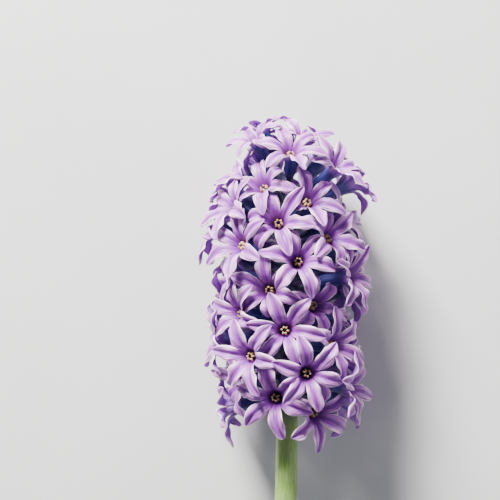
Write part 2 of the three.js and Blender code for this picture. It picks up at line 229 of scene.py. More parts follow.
def petal_path(floret, k, way, steps):
    """Sum of small steps along a direction that leans from the tube's axis, first quickly and then more slowly.

    Returns the points after each step, and the directions across and normal to the inner face there."""
    bend, yaw, twist, length = petal_draws(floret, k)
    angle = roll[floret] + PETAL_TURN * k
    mid = (np.arange(steps) + 0.5) / steps
    end = (np.arange(steps) + 1.0) / steps
    loose = np.clip((mid - FREE_FROM) / (1 - FREE_FROM), 0, None)
    bent = 1 - (1 - mid) ** BEND_EASE
    lean = PETAL_RISE + column(bend - PETAL_RISE) * bent + column(way["bend"]) * loose**GIVE_EASE
    lean = np.radians(lean)[..., None]
    out = spoke(floret, np.radians(column(angle) + column(yaw) * mid + column(way["yaw"]) * loose))
    axes = axis[floret][:, None]
    along = axes * np.cos(lean) + out * np.sin(lean)
    stride = column(length) / steps * np.where(loose > 0, column(way["length"]), 1.0)
    start = mouth[floret] + spoke(floret, np.radians(angle)) * column(PETAL_START * size[floret])
    points = start[:, None] + np.cumsum(along * stride[..., None], axis=-2)
    spin = np.radians(column(twist) * end**2 + column(way["twist"]) * loose)[..., None]
    flat = np.cross(axes, out)
    face = np.cross(along, flat)
    across = flat * np.cos(spin) + face * np.sin(spin)
    normal = face * np.cos(spin) - flat * np.sin(spin)
    return points, across, normal


sample = petal_path(index[:1], np.zeros(1, int), AT_EASE, 20)[0][0]
print("the first petal reaches", np.linalg.norm(sample[-1] - mouth[0]).round(1), "mm from the middle of its mouth")

# %% [markdown]
# The outline of a petal is a function of one parameter, the share of its length. It rises from a waist to the widest
# place, and closes towards the tip. Each part is a formula, so one number changes how full or pointed all petals are.


# %% Width of the solid petals
def opening(t):
    """A quarter of a sine wave, from the waist's share at the foot up to 1 at the widest place."""
    return PETAL_WAIST + (1 - PETAL_WAIST) * np.sin(np.pi / 2 * np.minimum(1, t / PETAL_WIDEST))


def closed(t, point):
    """0 up to the start of the point, and then the share of its span to a power."""
    return (np.clip(t - point["start"], 0, None) / point["span"]) ** point["power"]


def petal_width(t):
    """Share of the half width: the opening, times a falling superellipse towards the tip."""
    return opening(t) * np.sqrt(np.clip(1 - closed(t, PETAL_POINT), 0, None))


def broad(floret, k):
    """Largest half width of a petal: every other petal is a little narrower."""
    return PETAL_HALF_WIDTH * size[floret] * np.where(k % 2 == 1, INNER_PETAL, OUTER_PETAL)


print("shares of the half width along a petal:", petal_width(np.linspace(0, 1, 6)).round(2))

# %% [markdown]
# ## How each petal gives way
# The solids were arranged so that no petal passes through another: each tried a list of ways to give until one was
# clear. The list is short, so instead of storing the outcome, the script tries the same ways again and keeps the one
# whose tip and edges fall on corners of the solid. A petal with no such way is one of the few that had no room.

# %% Ways to give
BENDS = [0, 15, -15, 30, -30, 45, -45, 60, -60]
YAWS = [0, 12, -12, 24, -24]
TWISTS = [0, 30, -30]
LENGTHS = [1, 0.9, 0.8, 0.7, 0.55, 0.4, 0.3]
WIDTHS = [1, 0.6]
# A petal that found no room ends as a short stub.
STUB = {"bend": 0.0, "yaw": 0.0, "twist": 0.0, "length": 0.16, "width": 0.5}


def combinations(**choices):
    """Every combination of the choices, as one flat array for each name."""
    grids = np.meshgrid(*(np.array(choice, float) for choice in choices.values()), indexing="ij")
    return {name: grid.ravel() for name, grid in zip(choices, grids)}


print("ways to place a tip:", len(combinations(bend=BENDS, yaw=YAWS, length=LENGTHS)["bend"]))

# %% [markdown]
# The corners of a solid come from its mesh, whose triangles are loose, so each corner is there many times. Rounding
# makes equal corners equal, and each is then kept once, in the spike's frame and in millimetres.

# %% Corners of the solids
CORNER_DIGITS = 7  # of a length in metres


def solid_corners(name):
    """Corners of one solid, in the spike's own frame."""
    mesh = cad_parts[name].data
    corners = np.empty(len(mesh.vertices) * 3)
    mesh.vertices.foreach_get("co", corners)
    corners = np.unique(corners.reshape(-1, 3).round(CORNER_DIGITS), axis=0)
    return corners / MM - np.array([0, FORWARD, AXIS_HEIGHT])


def nearest(points, corners):
    """Distance from each point to the nearest corner."""
    return np.linalg.norm(points[..., None, :] - corners, axis=-1).min(-1)


print("corners of the first floret:", len(solid_corners("floret_01")))

# %% [markdown]
# For each petal, the corners are compared with where each way would put the tip. The ways that fit are compared again
# at both edges of the last cross-section, which also show the twist and the width. The solids that touch the floor are
# pressed flat, so the places that are looked for are kept over the floor too.

# %% Find the way in the solids
COARSE = 20  # steps in which the solids' petals were followed
LAST_SECTION = 16  # the step that ends at the solids' last cross-section
SAME_PLACE = 0.03  # millimetres, and twice that for each of two edges


def follow(floret, k, ways):
    """The path of one petal, for many ways to give at once."""
    many = len(ways["bend"])
    return petal_path(np.full(many, floret), np.full(many, k), ways, COARSE)


def edge_miss(floret, k, ways, corners):
    """Distance from both edges of the last cross-section to the nearest corners, added up, for each way."""
    point, across, normal = (values[:, LAST_SECTION] for values in follow(floret, k, ways))
    half = (broad(floret, k) * petal_width((LAST_SECTION + 1) / COARSE) * ways["width"])[:, None]
    rim = point + normal * PETAL_CHANNEL * half
    edges = np.stack([rim - across * half, rim + across * half])
    edges[..., 2] = np.maximum(edges[..., 2], -AXIS_HEIGHT)
    return nearest(edges, corners).sum(0)


def find_give(floret, k, corners):
    """The way whose tip lies on a corner, and among those the one whose last edges do too."""
    ways = combinations(bend=BENDS, yaw=YAWS, length=LENGTHS, twist=[0])
    tip = follow(floret, k, ways)[0][:, -1]
    tip[:, 2] = np.maximum(tip[:, 2], PETAL_THICKNESS / 2 - AXIS_HEIGHT)
    best, least = STUB, 2 * 2 * SAME_PLACE
    for hit in np.flatnonzero(nearest(tip, corners) < SAME_PLACE):
        chosen = {name: ways[name][hit : hit + 1] for name in ("bend", "yaw", "length")}
        closer = combinations(**chosen, twist=TWISTS, width=WIDTHS)
        miss = edge_miss(floret, k, closer, corners)
        if miss.min() < least:
            least = miss.min()
            best = {name: float(values[miss.argmin()]) for name, values in closer.items()}
    return best


print("way of the first petal:", find_give(0, 0, solid_corners("floret_01")))

# %% [markdown]
# The search runs once for each of the 348 petals. Petals that fall freely are remembered, because they have more room
# than the others, and are made a little fuller and livelier below.

# %% Ways of all petals
found = []
for f in range(FLORETS):
    corners = solid_corners(f"floret_{f + 1:02d}")
    found.extend(find_give(f, k, corners) for k in range(PETALS))
give = {name: np.array([way[name] for way in found]) for name in STUB}
falls_freely = np.all([give[name] == value for name, value in AT_EASE.items()], axis=0)
stubs = int((give["width"] == STUB["width"]).sum())
freely = int(falls_freely.sum())
print("petals that fall freely:", freely, "that gave way:", len(found) - freely - stubs, "stubs:", stubs)

# %% [markdown]
# ## A fine petal
# Each petal is a closed ribbon. It starts at the foot of the floret's tube as one sixth of its wall, runs up to the
# mouth, and goes on as the free petal. Six of them side by side make the floret, with a fine groove where two meet.
# One ring of points is worked out for each station along the ribbon: its inner face, then its outer face.

# %% Stations along a petal
TUBE_STATIONS = 13
FREE_STATIONS = 36
MOUTH_CROWDING = 1.25  # above 1, the tube's stations stand closer together towards the mouth
TIP_CROWDING = 1.35  # and the free petal's towards the tip, where the outline turns fastest
petal_floret = np.repeat(index, PETALS)
petal_k = np.tile(np.arange(PETALS), FLORETS)
up_the_tube = np.linspace(0, 1, TUBE_STATIONS + 1)[:-1]
free = 1 - (1 - np.linspace(0, 1, FREE_STATIONS + 1)[1:]) ** TIP_CROWDING
travel = np.concatenate([up_the_tube, 1 + free])
print("stations along a petal:", len(travel), "petals:", len(petal_floret))

# %% [markdown]
# The free petal follows its path in 60 small steps. Each station lies between the ends of two steps, and its midpoint
# and directions are blended from theirs.

# %% Midlines of the free petals
FINE = 60
paths = petal_path(petal_floret, petal_k, give, FINE)
place = np.clip(free * FINE - 1, 0, FINE - 1)
low = np.floor(place).astype(int)
high = np.minimum(low + 1, FINE - 1)
blend = (place - low)[:, None]
points, across, normal = (p[:, low] * (1 - blend) + p[:, high] * blend for p in paths)
print("the first station of a free petal lies", (free[0] * PETAL_LENGTH).round(2), "mm from the mouth's edge")

# %% [markdown]
# The tube is drawn as a table of a few heights with the radius and the wall there: narrow at its foot, swollen over the
# seed chamber, drawn in over it, and flared at the mouth. The same directions are needed along its wall as along the
# free petal, and the wall's slope gives them.

# %% Midlines in the tube
# Height over the mouth, radius of the inner wall and thickness of the wall, from the foot of the tube to its mouth.
TUBE_HEIGHT = np.array([-14.2, -13.9, -12.9, -10.8, -8.2, -5.6, -3.4, -1.8, -0.8, 0.0])
TUBE_INNER = np.array([0.15, 0.7, 1.2, 1.7, 1.65, 1.65, 2.05, 2.65, 3.15, 3.6])
TUBE_WALL = np.array([1.3, 1.55, 1.5, 1.45, 1.15, 1.0, 0.95, 0.9, 0.85, 0.8])
STEEPEST = 6.0  # degrees that the wall may slope more than the petal's first rise


def at(floret, over, radius, angle):
    """Point at a height over the mouth, and out from the floret's axis at an angle."""
    scale = size[floret][:, None, None]
    out = spoke(floret, angle)
    return mouth[floret][:, None] + axis[floret][:, None] * over[..., None] * scale + out * radius[..., None] * scale


tube_height = -TUBE_LENGTH * (1 - up_the_tube) ** MOUTH_CROWDING
tube_inner = np.interp(tube_height, TUBE_HEIGHT, TUBE_INNER)
tube_wall = np.interp(tube_height, TUBE_HEIGHT, TUBE_WALL)
angle = np.radians(roll[petal_floret] + PETAL_TURN * petal_k)[:, None]
axes = axis[petal_floret][:, None]
slope = np.arctan2(np.gradient(tube_inner), np.gradient(tube_height))
slope = np.minimum(slope, np.radians(PETAL_RISE + STEEPEST))[None, :, None]
out = spoke(petal_floret, angle)
tube_across = np.cross(axes, out) * np.ones_like(slope)
tube_normal = np.cross(axes * np.cos(slope) + out * np.sin(slope), tube_across)

points = np.concatenate([at(petal_floret, tube_height[None], tube_inner[None], angle), points], 1)
across = unit(np.concatenate([tube_across, across], 1))
normal = unit(np.concatenate([tube_normal, normal], 1))
print("inner radius of the tube from", tube_inner.min().round(2), "to", tube_inner.max().round(2), "mm")

# %% [markdown]
# ## The cross-section of a petal
# Widths follow the solids' widths, so each fine petal stays in the room that its solid has. The tip is softly pointed
# and the petals that fall freely are a little fuller. No petal is wider than the room between its two neighbours,
# which is found from the distance to the floret's axis. In the tube that room is the whole width.

# %% Half widths
FULLER = 1.08  # petals that fall freely are this much broader than their solids
FINE_POINT = {"start": 0.48, "span": 0.52, "power": 2.0}
POINT_SOFTNESS = 0.74  # below 1, the tip is rounder
POINT_LEFT = 0.0006  # keeps the last ring from having no width at all
SECTOR = np.radians(30.6)  # half the angle that a petal has round the tube, and a little to overlap its neighbour
SEAM = 0.985  # share of the room that a free petal may fill
TUBE_FADES = 1.22  # the tube's cross-section turns into the petal's from the mouth, 1, to here
NARROWED = (0.2, 0.4)  # shares of the length between which a small petal gets narrow


def smooth(x, low, high):
    """0 below low, 1 above high and a smooth S between."""
    s = np.clip((x - low) / (high - low), 0, 1)
    return s * s * (3 - 2 * s)


def fine_width(t):
    """Like the solids' petal width, but with a power that gives a softly pointed tip instead of a blunt one."""
    return opening(t) * np.clip(1 - closed(t, FINE_POINT), POINT_LEFT, None) ** POINT_SOFTNESS


t = np.clip(travel - 1, 0, 1)
freedom = falls_freely.astype(float)[:, None]
offset = points - mouth[petal_floret][:, None]
over = (offset * axes).sum(-1, keepdims=True)
radial = np.linalg.norm(offset - over * axes, axis=-1)
room = np.tan(SECTOR) * radial / (1 + PETAL_CHANNEL * np.tan(SECTOR))
lobe = (1 + (FULLER - 1) * freedom) * broad(petal_floret, petal_k)[:, None] * fine_width(t)
narrow = 1 - (1 - give["width"][:, None]) * smooth(t, *NARROWED)
half = np.where(travel < 1, room, np.minimum(lobe * narrow, room * SEAM))
print("widest petal:", (2 * half.max()).round(2), "mm")

# %% [markdown]
# The edges of a petal wave a little. Each edge has a sine of its own, with a rate and a phase that differ from petal to
# petal, and it counts most at the very edge. How high the waves stand is set below, together with the other heights.

# %% Waves of the edges
ACROSS_POINTS = 15
WAVE_RATE = 9.0
WAVE_RATE_SCATTER = 3.0
RIGHT_RATE = 1.13  # the right edge waves this much faster than the left one
RIGHT_PHASE = 2.1
RIGHT_SHIFT = 1
WAVE_GROWS = (0.2, 0.5)  # shares of the length between which the waves set in
WAVE_EDGE = 2.5  # power of the place across: more keeps the waves closer to the edge


def edge_wave(rate, phase, shift):
    """A sine of the place along the petal, from nothing at its foot to its full height past the middle."""
    return np.sin(rate * t + phase + shift) * smooth(t, *WAVE_GROWS)


u = np.sin(np.pi / 2 * np.linspace(-1, 1, ACROSS_POINTS))  # -1 and 1 at the edges, closer together there
wave_draw = draw(petal_floret, ITEM["wave"] + petal_k)[:, None]
fold_draw = draw(petal_floret, ITEM["fold"] + petal_k)[:, None]
phase = np.pi * wave_draw
wave_rate = WAVE_RATE + WAVE_RATE_SCATTER * fold_draw
left_wave = edge_wave(wave_rate, phase, 0)
right_wave = edge_wave(wave_rate * RIGHT_RATE, RIGHT_PHASE * phase, RIGHT_SHIFT)
wave = np.where(u[None, None] < 0, left_wave[..., None], right_wave[..., None]) * np.abs(u) ** WAVE_EDGE
print("waves from", wave.min().round(2), "to", wave.max().round(2), "of their height")

# %% [markdown]
# Seen end on, the inner face is a channel that deepens to a hood at the tip. A fine groove marks the midrib, and a
# cheek bulges on each side of it. These are heights over a flat ribbon, as shares of the half width, so they simply
# add up.

# %% Channel, groove and cheeks
CHANNEL_POWER = 1.5
FOLD_SCATTER = 0.55
HOOD = 0.9  # how much deeper the channel is at the tip
HOOD_FROM = 0.7
GROOVE = 0.15
GROOVE_WIDTH = 0.12
CHEEKS = 0.10
RELIEF_GROWS = (0.02, 0.25)  # shares of the length between which groove and cheeks set in
away = np.abs(u)
relief = smooth(t, *RELIEF_GROWS)[None, :, None]
folded = (1 + FOLD_SCATTER * fold_draw)[..., None]
depth = PETAL_CHANNEL * folded * (1 + HOOD * smooth(t, HOOD_FROM, 1.0))[None, :, None]
groove = GROOVE * np.exp(-((u / GROOVE_WIDTH) ** 2)) * relief
cheeks = CHEEKS * np.sin(np.pi * np.clip(away, 0, 1)) ** 2 * relief
form = depth * away**CHANNEL_POWER - groove + cheeks
print("channels up to", form.max().round(2), "of the half width deep")

# %% [markdown]
# The edges curl over and wave, the tip turns in by a nib, and the whole petal sways a little to one side. Petals that
# gave way to a neighbour are calmer, because they have less room: they wave and sway less, and have half the nib. The
# draw that sets the phase of the waves also sets the curl and the nib, which saves further ones.

# %% Curl, waves, nib and sway
CURL = 0.25  # how far the edges curl under, as a share of the half width
CURL_SCATTER = 0.14
CURL_WIDTH = 0.28  # share of the half width that curls
CURL_EASE = 1.5
CURL_GROWS = (0.1, 0.35)
WAVE_CALM, WAVE_MORE = 0.20, 0.15  # height of the waves, and what free petals add
NIB, NIB_SCATTER = 0.55, 0.35  # millimetres
NIB_CALM = 0.5  # share of the nib on petals that gave way
NIB_FROM = 0.78
SWAY_CALM, SWAY_MORE = 0.04, 0.14  # the same for the sway, as shares of the half width
EDGE_DRAWN_IN = 0.05  # share of the half width that the curl takes up
curl = (CURL + CURL_SCATTER * wave_draw)[..., None]
curl = curl * np.clip((away - (1 - CURL_WIDTH)) / CURL_WIDTH, 0, 1) ** CURL_EASE * smooth(t, *CURL_GROWS)[None, :, None]
lift = half[..., None] * (form - curl + (WAVE_CALM + WAVE_MORE * freedom[..., None]) * wave)
scale = size[petal_floret][:, None]
nib = scale * (NIB_CALM + (1 - NIB_CALM) * freedom) * (NIB + NIB_SCATTER * wave_draw)
nib = nib * smooth(t, NIB_FROM, 1.0)[None] ** 2
lift = lift + nib[..., None]
sway = (SWAY_CALM + SWAY_MORE * freedom) * draw(petal_floret, ITEM["sway"] + petal_k)[:, None] * np.sin(np.pi * t)
lateral = half[..., None] * (u * (1 - EDGE_DRAWN_IN * away**3) + sway[..., None])
print("faces rise up to", lift.max().round(2), "mm and sink to", lift.min().round(2), "mm")

# %% [markdown]
# A petal is fleshy at its foot and thin towards its tip and its edges, and the tube's wall is a little thinner at the
# seams. In the tube the outer face lies radially behind the inner one, like a slice of a ring. In the free petal it
# lies straight behind it.

# %% Thickness
TIP_THINNING = 0.35
THINS_FROM = 0.5
TIP_ROUND_FROM = 0.93
TIP_LEFT = 1.0003  # a hair more than 1, so that the tip closes without vanishing
EDGE_THINNING = 0.45
EDGE_LEFT = 1.02  # the same for the edges
EDGE_ROUNDNESS = 12
SEAM_THINNING = 0.16
SEAM_ROUNDNESS = 8
in_tube = 1 - smooth(travel, 1.0, TUBE_FADES)
body = np.concatenate([tube_wall, np.full(len(free), PETAL_THICKNESS)])
body = body * (1 - TIP_THINNING * smooth(t, THINS_FROM, 1.0))
body = body * np.sqrt(np.clip(TIP_LEFT - smooth(t, TIP_ROUND_FROM, 1.0), 0, None))
edge_free = (1 - EDGE_THINNING * away**2) * np.sqrt(EDGE_LEFT - away**EDGE_ROUNDNESS)
edge_tube = 1 - SEAM_THINNING * away**SEAM_ROUNDNESS
edge = edge_tube * in_tube[:, None] + edge_free * (1 - in_tube[:, None])
thick = scale[..., None] * body[None, :, None] * edge[None]
fan = SECTOR * u * in_tube[:, None]
thrust = across[:, :, None] * np.sin(fan)[None, ..., None] - normal[:, :, None] * np.cos(fan)[None, ..., None]
print("thickness:", np.median(thick).round(2), "mm in the median,", thick.max().round(2), "mm at most")

# %% [markdown]
# Now the rings can be put together: the midline, plus the place across, plus the height, then half the thickness to
# each side. Petals of the lowest side would sink into the floor, so their middles are kept just over it.

# %% Rings of all petals
FLOOR_GAP = 0.02
inner = points[:, :, None] + across[:, :, None] * lateral[..., None] + normal[:, :, None] * lift[..., None]
middle = inner + thrust * thick[..., None] / 2
clear = np.abs(thrust[..., 2] * thick) / 2 + FLOOR_GAP
middle[..., 2] = np.maximum(middle[..., 2], clear - AXIS_HEIGHT)
inner = middle - thrust * thick[..., None] / 2
outer = middle + thrust * thick[..., None] / 2
rings = np.concatenate([inner, outer[:, :, ::-1]], 2)
print("points of a petal:", rings.shape[1] * rings.shape[2], "all:", rings.shape[0] * rings.shape[1] * rings.shape[2])

# %% [markdown]
# ## From rings to meshes
# Neighbouring rings are joined by four-sided faces, and each end is closed with a strip of faces from one side of the
# ring to the other. That strip needs an even number of points. Every piece is made of such closed tubes of rings.


# %% Faces between rings
def ring_faces(stations, points_in_ring):
    """Four corners of each face of a tube of rings, and of the flat strips at both ends."""
    j = np.arange(points_in_ring)
    n = (np.arange(stations - 1) * points_in_ring)[:, None]
    k = (j + 1) % points_in_ring
    sides = np.stack([n + j, n + k, n + points_in_ring + k, n + points_in_ring + j], -1).reshape(-1, 4)
    m = np.arange(points_in_ring // 2 - 1)
    back = points_in_ring - 1 - m
    cap = np.stack([m, back, back - 1, m + 1], -1)
    end = cap[:, ::-1] + (stations - 1) * points_in_ring
    return np.concatenate([sides, cap, end])


def many_faces(many, stations, points_in_ring):
    """The faces of many equal tubes, whose points follow one another."""
    starts = np.arange(many) * (stations * points_in_ring)
    return (ring_faces(stations, points_in_ring)[None] + starts[:, None, None]).reshape(-1, 4)


def ring_angles(sides):
    """Angles of the points of a round ring, evenly spaced."""
    return np.linspace(0, 2 * np.pi, sides, endpoint=False)


print("a tube of two rings of four points is a box with", len(ring_faces(2, 4)), "faces")

# %% [markdown]
# Blender takes a mesh quickly from whole arrays with foreach_set. The sign of the volume tells whether the faces point
# outwards, and if not, all are turned round. Each point also keeps values as attributes that the material reads, such
# as how far across and how far along its petal it is. Every piece is given its body and what it replaces.


# %% Mesh of a piece
def volume(vertices, faces):
    """Signed volume under the faces, as the sum of the tetrahedra that they make with the origin."""
    a, b, c, d = (vertices[faces[:, i]] for i in range(4))
    return (np.einsum("ij,ij->i", a, np.cross(b, c)) + np.einsum("ij,ij->i", a, np.cross(c, d))).sum() / 6


def make_piece(name, points, faces, material, slot, node=None, **attributes):
    """A smooth mesh object in metres from points in the spike's frame. It rides on the part, and may replace a node."""
    vertices = points.reshape(-1, 3)
    if volume(vertices, faces) < 0:
        faces = faces[:, ::-1]
    mesh = bpy.data.meshes.new(name)
    mesh.vertices.add(len(vertices))
    placed = (vertices + np.array([0, FORWARD, AXIS_HEIGHT])) * MM
    mesh.vertices.foreach_set("co", placed.astype(np.float32).ravel())
    mesh.loops.add(faces.size)
    mesh.loops.foreach_set("vertex_index", faces.astype(np.int32).ravel())
    mesh.polygons.add(len(faces))
    mesh.polygons.foreach_set("loop_start", np.arange(0, faces.size, 4, dtype=np.int32))
    mesh.polygons.foreach_set("use_smooth", np.ones(len(faces), bool))
    mesh.update(calc_edges=True)
    for key, values in attributes.items():
        values = np.broadcast_to(values, points.shape[:-1]).astype(np.float32)
        mesh.attributes.new(key, "FLOAT", "POINT").data.foreach_set("value", values.ravel())
    mesh.materials.append(material)
    piece = bpy.data.objects.new(name, mesh)
    bpy.context.scene.collection.objects.link(piece)
    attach(piece, "root")
    if node:
        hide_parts(node)


one_petal = volume(rings[0].reshape(-1, 3), ring_faces(*rings.shape[1:3]))
print("volume of the first petal:", abs(one_petal).round(1), "cubic mm")

# %% [markdown]
# ## Shader building blocks
# A material is a graph of nodes. A few small helpers keep the graphs short to write: each adds one node, connects it,
# and gives back its output. A value may be a number or another node's output.


# %% Node helpers
def link(tree, value, socket):
    """Connects a socket, or sets a constant."""
    if isinstance(value, bpy.types.NodeSocket):
        tree.links.new(value, socket)
    elif value is not None:
        socket.default_value = value


def calc(tree, operation, a, b=None, c=None, clamp=False):
    """One Math node."""
    node = tree.nodes.new("ShaderNodeMath")
    node.operation = operation
    node.use_clamp = clamp
    for value, socket in zip((a, b, c), node.inputs):
        link(tree, value, socket)
    return node.outputs[0]


def times(tree, a, b, clamp=False):
    """The product of two values."""
    return calc(tree, "MULTIPLY", a, b, clamp=clamp)


def opposite(tree, value):
    """1 minus the value."""
    return calc(tree, "SUBTRACT", 1.0, value)


def between(tree, value, at_zero, at_one):
    """A straight line from at_zero, where the value is 0, to at_one, where it is 1."""
    return calc(tree, "MULTIPLY_ADD", value, at_one - at_zero, at_zero)


def ramp(tree, value, low, high):
    """0 below low, 1 above high and a smooth S between, in one Map Range node."""
    node = tree.nodes.new("ShaderNodeMapRange")
    node.interpolation_type = "SMOOTHSTEP"
    link(tree, value, node.inputs["Value"])
    link(tree, low, node.inputs["From Min"])
    link(tree, high, node.inputs["From Max"])
    return node.outputs["Result"]


print("shader groups so far:", len(bpy.data.node_groups))

# %% [markdown]
# A pattern needs a place to be worked out from: an attribute of the mesh, or three values joined to a vector. Noise
# then gives a soft value that is the same at the same place.


# %% Pattern helpers
def combine(tree, x, y, z):
    """A vector from three values."""
    node = tree.nodes.new("ShaderNodeCombineXYZ")
    for value, socket in zip((x, y, z), node.inputs):
        link(tree, value, socket)
    return node.outputs[0]


def attribute(tree, name):
    """The value that a mesh keeps under this name."""
    node = tree.nodes.new("ShaderNodeAttribute")
    node.attribute_name = name
    return node.outputs["Fac"]


def noise(tree, vector, scale, detail):
    """Soft noise between 0 and 1."""
    node = tree.nodes.new("ShaderNodeTexNoise")
    link(tree, vector, node.inputs["Vector"])
    link(tree, scale, node.inputs["Scale"])
    link(tree, detail, node.inputs["Detail"])
    return node.outputs["Fac"]


print("attributes that the materials read: across, along, inner, chance, tint, cut and core")

# %% [markdown]
# Colours are built like paint: a ground colour, then coats over it, each with a mask that says where it goes and a
# strength. Written as a list of coats, a look can be read and changed without following the nodes.


# %% Colour and group helpers
def blend_colours(tree, factor, a, b):
    """One Mix node for colours."""
    node = tree.nodes.new("ShaderNodeMix")
    node.data_type = "RGBA"
    link(tree, factor, node.inputs["Factor"])
    link(tree, a, node.inputs["A"])
    link(tree, b, node.inputs["B"])
    return node.outputs["Result"]


def paint(tree, ground, masks, coats):
    """The ground colour with each coat mixed in, by its mask times its strength."""
    colour = ground
    for name, strength, coat in coats:
        factor = masks[name] if strength == 1 else times(tree, masks[name], strength)
        colour = blend_colours(tree, factor, colour, coat)
    return colour


def new_group(name, inputs, outputs):
    """An empty shader node group with these sockets for single values, the sockets to read and those to fill."""
    tree = bpy.data.node_groups.new(name, "ShaderNodeTree")
    for key in inputs:
        tree.interface.new_socket(key, in_out="INPUT", socket_type="NodeSocketFloat")
    for key in outputs:
        tree.interface.new_socket(key, in_out="OUTPUT", socket_type="NodeSocketFloat")
    return tree, tree.nodes.new("NodeGroupInput").outputs, tree.nodes.new("NodeGroupOutput").inputs


def use_group(tree, group, **values):
    """A node that uses the group, with its inputs connected."""
    node = tree.nodes.new("ShaderNodeGroup")
    node.node_tree = group
    for key, value in values.items():
        link(tree, value, node.inputs[key])
    return node.outputs


print("materials that came with the solids:", len(bpy.data.materials))

# %% [markdown]
# ### Fine lines
# Veins stripe petals and stems along their length. Noise that is dense across and stretched along gives such lines.
# Several materials need it, so it is a group: the count sets how many lines there are, and the seed moves them, so that
# no two petals are striped alike.

# %% Group of fine lines
LINE_STRETCH = 1.6
LINE_SEED_STEP = 37.0
LINE_DETAIL = 3.0
LINE_CONTRAST = (0.38, 0.66)


def fine_lines_group():
    """Noise at across times the count, along times the stretch and seed times its step, then its contrast raised."""
    tree, given, result = new_group("Fine lines", ["Across", "Along", "Count", "Seed"], ["Lines", "Height"])
    across_lines = times(tree, given["Across"], given["Count"])
    along_lines = times(tree, given["Along"], LINE_STRETCH)
    place = combine(tree, across_lines, along_lines, times(tree, given["Seed"], LINE_SEED_STEP))
    pattern = noise(tree, place, 1.0, LINE_DETAIL)
    link(tree, ramp(tree, pattern, *LINE_CONTRAST), result["Lines"])
    link(tree, pattern, result["Height"])
    return tree


fine_lines = fine_lines_group()
print("group:", fine_lines.name, "nodes:", len(fine_lines.nodes))

# %% [markdown]
# ### Blotches
# Wax, pigment and paper are never quite even. Noise on the object's own coordinates gives soft spots that stay in place
# on the piece, and the size is given in metres.

# %% Group of blotches
BLOTCH_DETAIL = 3.0
BLOTCH_CONTRAST = (0.3, 0.7)


def blotches_group():
    """Noise at the object's coordinates moved by the seed, at one over the size, then its contrast raised."""
    tree, given, result = new_group("Blotches", ["Size", "Seed"], ["Blotches"])
    moved = tree.nodes.new("ShaderNodeVectorMath")
    link(tree, tree.nodes.new("ShaderNodeTexCoord").outputs["Object"], moved.inputs[0])
    link(tree, combine(tree, given["Seed"], 0.0, 0.0), moved.inputs[1])
    pattern = noise(tree, moved.outputs[0], calc(tree, "DIVIDE", 1.0, given["Size"]), BLOTCH_DETAIL)
    link(tree, ramp(tree, pattern, *BLOTCH_CONTRAST), result["Blotches"])
    return tree


blotches = blotches_group()
print("group:", blotches.name, "nodes:", len(blotches.nodes))

# %% [markdown]
# ## Petal material
# The inner face is pale lilac with a darker violet band down the middle, widest near the throat. Broad streaks break
# the band up and differ from petal to petal, and finer lines run over both. The rim is almost white, and the tip is
# tinted a little. The outer face is bluer, and the tube is deep blue.

# %% Colours of the petals
PETAL_PALE = (0.80, 0.39, 0.74, 1)
PETAL_LILAC = (0.34, 0.080, 0.43, 1)
PETAL_VIOLET = (0.145, 0.015, 0.28, 1)
PETAL_VEIN = (0.21, 0.026, 0.34, 1)
PETAL_RIM = (1.0, 0.79, 0.95, 1)
THROAT_VIOLET = (0.16, 0.022, 0.28, 1)
BACK_LILAC = (0.50, 0.22, 0.64, 1)
BACK_VIOLET = (0.14, 0.040, 0.38, 1)
TUBE_BLUE = (0.034, 0.034, 0.20, 1)

# Coats of paint from the first to the last: mask, strength and colour.
INNER_COATS = [
    ("pale", 1, PETAL_PALE),
    ("band", 1, PETAL_VIOLET),
    ("streaks", 0.72, PETAL_VEIN),
    ("lines", 0.42, PETAL_VEIN),
    ("midrib", 0.55, PETAL_VIOLET),
    ("tip", 1, PETAL_VEIN),
    ("rim", 0.80, PETAL_RIM),
    ("throat", 1, THROAT_VIOLET),
]
OUTER_COATS = [
    ("band", 1, BACK_VIOLET),
    ("lines", 0.35, BACK_VIOLET),
    ("rim", 0.7, PETAL_RIM),
    ("tube", 1, TUBE_BLUE),
]
print("coats on the inner face:", len(INNER_COATS), "on the outer:", len(OUTER_COATS))

# %% [markdown]
# Each mask comes from where a point is on its petal. The place across is 0 at the midrib and 1 at the rim. The place
# along is 0 at the foot of the tube, 1 at the mouth and 2 at the tip. A mask rises or falls smoothly between two such
# places, and the lines push its border to and fro, so that no border is a clean curve.

# %% Masks of the petals
LINE_COUNT = 9.0
STREAK_COUNT = 3.6
STREAK_SEED = 0.5
CLOUD_SIZE = 0.006
WOBBLE = 0.18  # how far the lines push the borders
BAND_ALONG = (1.05, 2.0)
BAND_MIDDLE = 0.06
BAND_WIDTH = (0.72, 0.30)  # near the throat and at the tip
BAND_FADES = (1.0, 0.55)  # strength near the throat and at the tip
BAND_DIFFERS = (0.65, 1.20)  # strength on the palest and on the darkest petal
BAND_STREAKED = (0.35, 1.25)  # strength between the streaks and on them
RIM_ACROSS, RIM_ALONG = (0.80, 1.0), (1.05, 1.3)
PALE_ACROSS, PALE_ALONG = (0.15, 0.70), (0.95, 1.5)
PALE_CLOUDED = (1.0, 0.65)
MIDRIB_ACROSS = (0.0, 0.09)
TIP_ALONG = (1.72, 2.0)
TIP_CLOUDED = (0.15, 0.65)
THROAT_ALONG = (0.80, 1.10)
TUBE_ALONG = (0.70, 1.2)


